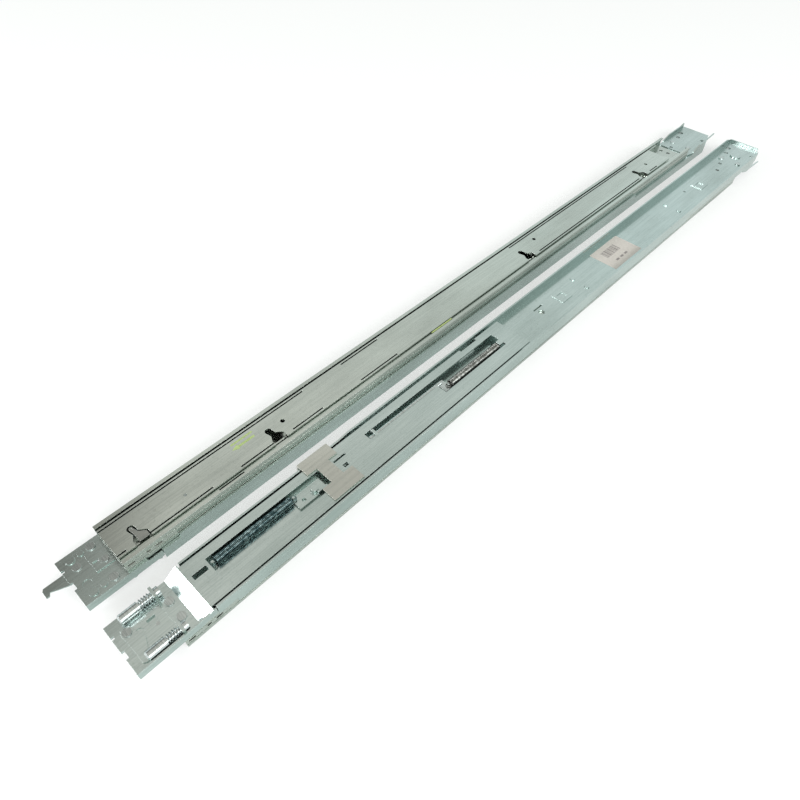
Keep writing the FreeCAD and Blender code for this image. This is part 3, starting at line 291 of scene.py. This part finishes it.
BALL = plain_finish("polished_ball_steel", "#BFC2C3", "#F0F2F2", 1.2, 0.06, 0.16, 1.0, 0.02)
NYLON = plain_finish("moulded_green_nylon", "#8C9A5A", "#A8B57A", 0.6, 0.42, 0.55, 0.0, 0.30)
PAPER = plain_finish("label_paper", "#B9B2AC", "#CBC5BF", 1.0, 0.45, 0.60, 0.0, 0.10)
INK = plain_finish("label_ink", "#77716E", "#989290", 1.0, 0.50, 0.65, 0.0, 0.05)
GREEN_INK = plain_finish("green_marking_ink", "#98AC66", "#B6C68C", 1.5, 0.35, 0.50, 0.3, 0.05)
print("five plain finishes")

# %% [markdown]
# ## Each piece gets its finish
# The names of the nodes say what they are, so a short table is enough. Whatever isn't in the
# table is plain plated sheet.

# %% Give each piece its finish
# Names without their side; the left and the right piece share one finish
FINISH = {
    "guide_saddle": ZINC_PAINTED_WARM_REFLECTION, "stud_latch": ZINC_GREY,
    "slide_outer": ZINC_SLIDE, "slide_middle": ZINC_SLIDE, "slide_inner": ZINC_SLIDE,
    "outer_ball_cage": ZINC_GREY, "inner_ball_cage": ZINC_GREY,
    "outer_balls": BALL, "inner_balls": BALL,
    "upper_peg": TURNED, "lower_peg": TURNED, "release_rod": TURNED, "guide_studs": TURNED,
    "bracket_rivets": TURNED, "latch_rivet": TURNED, "rear_rivets": TURNED,
    "upper_peg_spring": BRIGHT_WIRE, "lower_peg_spring": BRIGHT_WIRE, "leaf_spring": BRIGHT_WIRE,
    "lock_spring": DARK_WIRE, "pull_spring": RUBBED_WIRE, "release_tab": NYLON,
}
for name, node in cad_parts.items():
    node.data.materials.clear()
    piece = name.split("_", 1)[1]
    node.data.materials.append(FINISH.get(piece, ZINC))
print("finishes on", len(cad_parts), "pieces")

# %% [markdown]
# ## Wind the springs
# The imported model holds the two long springs of each rail as plain tubes. Real wire lies turn
# against turn, and the light breaks on every turn. A helix with a round profile gives that: a
# poly curve goes once round the front post, winds along the tube and goes round the rear post.
# The curve is turned into a mesh that takes the place of the tube, at rest. On the real rail one
# end stays on the fixed rail and the other one travels with the piece that it pulls.

# %% Wind the springs
WIRE = 0.9 * MM
LOOP = 2.0 * MM
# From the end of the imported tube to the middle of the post
POST_INSET = 2.5 * MM
TURN_POINTS = 16


def wound_spring(node_name, moving_rear):
    """A spring in the place of a node, between its two posts."""
    low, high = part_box(node_name)
    front = Vector((low.x + POST_INSET, (low.y + high.y) / 2, (low.z + high.z) / 2))
    rear = Vector((high.x - POST_INSET, front.y, front.z))
    radius = (high.z - low.z - WIRE) / 2
    first = front.x + LOOP + WIRE / 2
    length = rear.x - LOOP - WIRE / 2 - first
    turns = round(length / WIRE)

    # Loop round the front post, coil, loop round the rear post
    path = []
    for step in range(TURN_POINTS):
        angle = math.tau * step / TURN_POINTS
        path.append((front.x + LOOP * math.cos(angle), front.y + LOOP * math.sin(angle), front.z))
    for step in range(turns * TURN_POINTS + 1):
        angle = math.tau * step / TURN_POINTS
        path.append((first + length * step / (turns * TURN_POINTS),
                     front.y + radius * math.cos(angle), front.z + radius * math.sin(angle)))
    for step in range(TURN_POINTS):
        angle = math.pi + math.tau * (step + 1) / TURN_POINTS
        path.append((rear.x + LOOP * math.cos(angle), rear.y + LOOP * math.sin(angle), rear.z))

    curve = bpy.data.curves.new(node_name + "_path", "CURVE")
    curve.dimensions = "3D"
    curve.bevel_depth = WIRE / 2
    curve.bevel_resolution = 2
    line = curve.splines.new("POLY")
    line.points.add(len(path) - 1)
    for spot, point in zip(line.points, path):
        spot.co = (*point, 1)

    # The mesh of the curve is kept; the curve itself isn't needed any more
    guide = bpy.data.objects.new(node_name + "_path", curve)
    mesh = bpy.data.meshes.new_from_object(guide)
    for face in mesh.polygons:
        face.use_smooth = True
    mesh.materials.clear()
    mesh.materials.append(FINISH[node_name.split("_", 1)[1]])
    bpy.data.objects.remove(guide)
    spring = bpy.data.objects.new(node_name + "_wire", mesh)
    bpy.context.scene.collection.objects.link(spring)
    if moving_rear:
        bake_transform(spring)
    else:
        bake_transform(spring)
    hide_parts(node_name)
    return turns


for side in ("left", "right"):
    locking = wound_spring(f"{side}_lock_spring", True)
    pulling = wound_spring(f"{side}_pull_spring", False)
print("springs of", locking, "and", pulling, "turns on each rail")

# %% [markdown]
# ## Copy the small springs
# The coil round each peg gets shorter when the peg is pressed, and the leaf under each stud latch
# bends down with it. Their imported shapes are right at rest, so each one is copied, and the copy
# takes the place of the node, at rest.


def giving_spring(node_name):
    """A copy of a node that takes its place, with the node's shape at rest."""
    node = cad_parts[node_name]
    mesh = node.data.copy()
    mesh.transform(node.matrix_world)
    spring = bpy.data.objects.new(node_name + "_giving", mesh)
    bpy.context.scene.collection.objects.link(spring)
    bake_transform(spring)
    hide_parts(node_name)


for side in ("left", "right"):
    for peg in ("upper", "lower"):
        giving_spring(f"{side}_{peg}_peg_spring")
    giving_spring(f"{side}_leaf_spring")

# %% [markdown]
# ## Print on the steel
# A paper label lies on the left rail's long channel and a green arrow on the right rail's inner
# member. Real print is far thinner than a hair; here it floats a few hundredths of a millimetre
# over the steel, which is enough to keep the two surfaces apart. The bars stand in for the
# printed lines, without any lettering.

# %% Print on the steel
PRINT_LIFT = 0.02 * MM


def rectangle(x, y, length, width):
    """The corners of a rectangle round its middle, in metres."""
    return [(x - length / 2, y - width / 2), (x + length / 2, y - width / 2),
            (x + length / 2, y + width / 2), (x - length / 2, y + width / 2)]


def print_on(name, outlines, height, ink, body):
    """Flat printed shapes that ride on a body."""
    corners = [(x, y, height) for outline in outlines for x, y in outline]
    faces = []
    first = 0
    for outline in outlines:
        faces.append(list(range(first, first + len(outline))))
        first += len(outline)
    mesh = bpy.data.meshes.new(name)
    mesh.from_pydata(corners, [], faces)
    mesh.materials.append(ink)
    piece = bpy.data.objects.new(name, mesh)
    bpy.context.scene.collection.objects.link(piece)
    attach(piece, body)


# Where the rails are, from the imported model
SLIDE_SETBACK = 20 * MM
CHANNEL_DEPTH = 8.5 * MM
slide_low, slide_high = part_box("left_slide_outer")
FRONT_X = slide_low.x - SLIDE_SETBACK
LEFT_MIDDLE = (slide_low.y + slide_high.y) / 2
WEB_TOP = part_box("left_rear_channel")[1].z - CHANNEL_DEPTH

# The label, with its bars above and a row of dashes below
LABEL_X = FRONT_X + 570 * MM
LABEL_Y = LEFT_MIDDLE + 1 * MM
LABEL_SIZE = (52 * MM, 32 * MM)
BAR_WIDTHS_MM = (0.8, 1.6, 0.6, 2.2, 1.0, 0.6, 1.8, 0.8, 1.2, 2.0, 0.6, 1.4)
BAR_START = 15 * MM
BAR_SHIFT = 5 * MM
BAR_HEIGHT = 10 * MM
BAR_GAP = 0.9 * MM
DASH_PLACES_MM = (-9, -1, 7)
DASH_SHIFT = 8 * MM
DASH_SIZE = (5 * MM, 2.4 * MM)

print_on("left_label_paper", [rectangle(LABEL_X, LABEL_Y, *LABEL_SIZE)], WEB_TOP + PRINT_LIFT, PAPER,
         "left_rear_channel_body")
bars = []
bar_x = LABEL_X - BAR_START
for width in BAR_WIDTHS_MM:
    bars.append(rectangle(bar_x + width * MM / 2, LABEL_Y + BAR_SHIFT, width * MM, BAR_HEIGHT))
    bar_x += width * MM + BAR_GAP
for dash_x in DASH_PLACES_MM:
    bars.append(rectangle(LABEL_X + dash_x * MM, LABEL_Y - DASH_SHIFT, *DASH_SIZE))
print_on("left_label_bars", bars, WEB_TOP + 2 * PRINT_LIFT, INK, "left_rear_channel_body")

# The arrow and the line under it
ARROW_MM = [(-12, 0), (-6, -2.6), (-6, -1), (9, -1), (9, 1), (-6, 1), (-6, 2.6)]
UNDERLINE_SHIFT = 4.6 * MM
UNDERLINE_SIZE = (20 * MM, 1.6 * MM)
inner_low, inner_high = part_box("right_slide_inner")
MARK_X = FRONT_X + 138 * MM
MARK_Y = (inner_low.y + inner_high.y) / 2 + 4 * MM
arrow = [(MARK_X + x * MM, MARK_Y + y * MM) for x, y in ARROW_MM]
underline = rectangle(MARK_X, MARK_Y + UNDERLINE_SHIFT, *UNDERLINE_SIZE)
print_on("right_green_arrow", [arrow, underline], inner_high.z + PRINT_LIFT, GREEN_INK,
         "right_inner_slide_body")
print("label with", len(bars), "bars and dashes, and a green arrow")

# %% [markdown]
# ## White paper floor
# The rails lie on a white sweep. The floor is a plain sheet that takes a soft shadow where the
# rails touch it. Lit paper alone would come out grey and uneven, so what the camera sees of it
# is mixed with an even white glow, and mirrors and glass see the same.

# %% White paper floor
# Half a side, in metres
FLOOR_HALF = 4
FLOOR_DROP = 0.3 * MM
# How much of the floor's look is the even glow; the rest is lit paper with the shadow
SHADELESS = 0.5

paper, tree, _ = start_material("white_paper_floor")
rays = add(tree, "ShaderNodeLightPath")
seen = add(tree, "ShaderNodeMath", {0: rays["Is Camera Ray"], 1: rays["Is Glossy Ray"]},
           operation="MAXIMUM")["Value"]
seen = add(tree, "ShaderNodeMath", {0: seen, 1: rays["Is Transmission Ray"]},
           operation="MAXIMUM")["Value"]
glow = add(tree, "ShaderNodeMath", {0: seen, 1: SHADELESS}, operation="MULTIPLY")["Value"]
matt_paper = add(tree, "ShaderNodeBsdfDiffuse", {"Color": linear("#FAFAFA")})["BSDF"]
white = add(tree, "ShaderNodeEmission", {"Color": linear("#FFFFFF"), "Strength": 1.0})["Emission"]
mixed = add(tree, "ShaderNodeMixShader", {0: glow, 1: matt_paper, 2: white})["Shader"]
add(tree, "ShaderNodeOutputMaterial", {"Surface": mixed})

sheet = bpy.data.meshes.new("white_paper")
corners = [(x * FLOOR_HALF, y * FLOOR_HALF, -FLOOR_DROP)
           for x, y in ((-1, -1), (1, -1), (1, 1), (-1, 1))]
sheet.from_pydata(corners, [], [(0, 1, 2, 3)])
sheet.materials.append(paper)
floor = bpy.data.objects.new("white_paper", sheet)
bpy.context.scene.collection.objects.link(floor)
print("floor down")

# %% [markdown]
# ## Room and lamps
# Bright metal shows its surroundings, so the room matters more than the lamps. The photo was
# taken under a soft white ceiling with cooler light near the horizon, and one darker patch that
# the near ends of the rails reflect. The world draws those from the direction of the light alone.
# Three soft boxes add the bright bends. An image of a studio would light it too, but a few colour
# stops are easier to tune.

# %% The room
DARK_PATCH = Vector((-0.15, 0.72, 0.68)).normalized()

world = bpy.data.worlds.new("soft_room")
bpy.context.scene.world = world
world.use_nodes = True
tree = world.node_tree
tree.nodes.clear()
direction = add(tree, "ShaderNodeTexCoord")["Generated"]
height = add(tree, "ShaderNodeSeparateXYZ", {"Vector": direction})["Z"]
room = add(tree, "ShaderNodeValToRGB", {"Fac": height},
           [(0.25, "#F2FAFA"), (0.50, "#DAE8E6"), (0.80, "#DEE0DA"), (1.0, "#D8D6CE")])["Color"]
near = add(tree, "ShaderNodeVectorMath", {0: direction, 1: DARK_PATCH},
           operation="DOT_PRODUCT")["Value"]
patch = add(tree, "ShaderNodeValToRGB", {"Fac": near},
            [(0.945, "#000000"), (0.975, "#FFFFFF")])["Color"]
shaded = add(tree, "ShaderNodeMix",
             {MIX_SHARE: patch, MIX_FIRST: room, MIX_SECOND: linear("#5A564F")},
             data_type="RGBA")[MIX_RESULT]
sky = add(tree, "ShaderNodeBackground", {"Color": shaded, "Strength": 1.0})["Background"]
add(tree, "ShaderNodeOutputWorld", {"Surface": sky})
print("room light set")

# %% The soft boxes
# Metres from the origin
SOFTBOX_DISTANCE = 2.2


def softbox(name, direction, wide, tall, watts):
    """A rectangular soft lamp, sized in metres, that looks at the origin."""
    lamp = bpy.data.lights.new(name, "AREA")
    lamp.shape = "RECTANGLE"
    lamp.size = wide
    lamp.size_y = tall
    lamp.energy = watts
    box = bpy.data.objects.new(name, lamp)
    towards = Vector(direction).normalized()
    box.location = towards * SOFTBOX_DISTANCE
    box.rotation_euler = towards.to_track_quat("Z", "Y").to_euler()
    bpy.context.scene.collection.objects.link(box)


softbox("bend_softbox", (-0.80, 0.45, 0.36), 1.0, 0.7, 18)
softbox("camera_softbox", (-0.45, -0.70, 0.62), 1.4, 0.9, 20)
softbox("side_softbox", (0.20, -0.80, 0.55), 1.2, 0.9, 14)
print("three soft boxes")

# %% [markdown]
# ## Camera
# The photo was taken from close by with a wide lens, so the near ends look much larger than the
# far ones. The three directions of the rails' edges in the photo meet in three vanishing points,
# and those give the focal length and how the camera is turned. The scale of the pair gives where
# it stands. Moving the camera by eye would also get there, but never this close.

# %% Camera
IMAGE_PIXELS = 800
FOCAL_PIXELS = 634.13
SENSOR_MM = 36.0
RIGHT = Vector((0.6890789, -0.72437029, 0.02139965))
UP = Vector((0.53603571, 0.52934752, 0.65761457))
BACK = Vector((-0.48768431, -0.44167735, 0.75305055))
EYE_ASIDE = 213.5 * MM
EYE_HEIGHT = 413 * MM
EYE = Vector((FRONT_X, LEFT_MIDDLE - EYE_ASIDE, EYE_HEIGHT))

lens = bpy.data.cameras.new("photo_camera")
lens.sensor_width = SENSOR_MM
lens.lens = FOCAL_PIXELS / IMAGE_PIXELS * SENSOR_MM
lens.clip_start = 10 * MM
camera = bpy.data.objects.new("photo_camera", lens)
camera.matrix_world = Matrix.Translation(EYE) @ Matrix((RIGHT, UP, BACK)).transposed().to_4x4()
bpy.context.scene.collection.objects.link(camera)
bpy.context.scene.camera = camera
bpy.context.scene.view_settings.view_transform = "Standard"
print("focal length", round(lens.lens, 1), "mm")
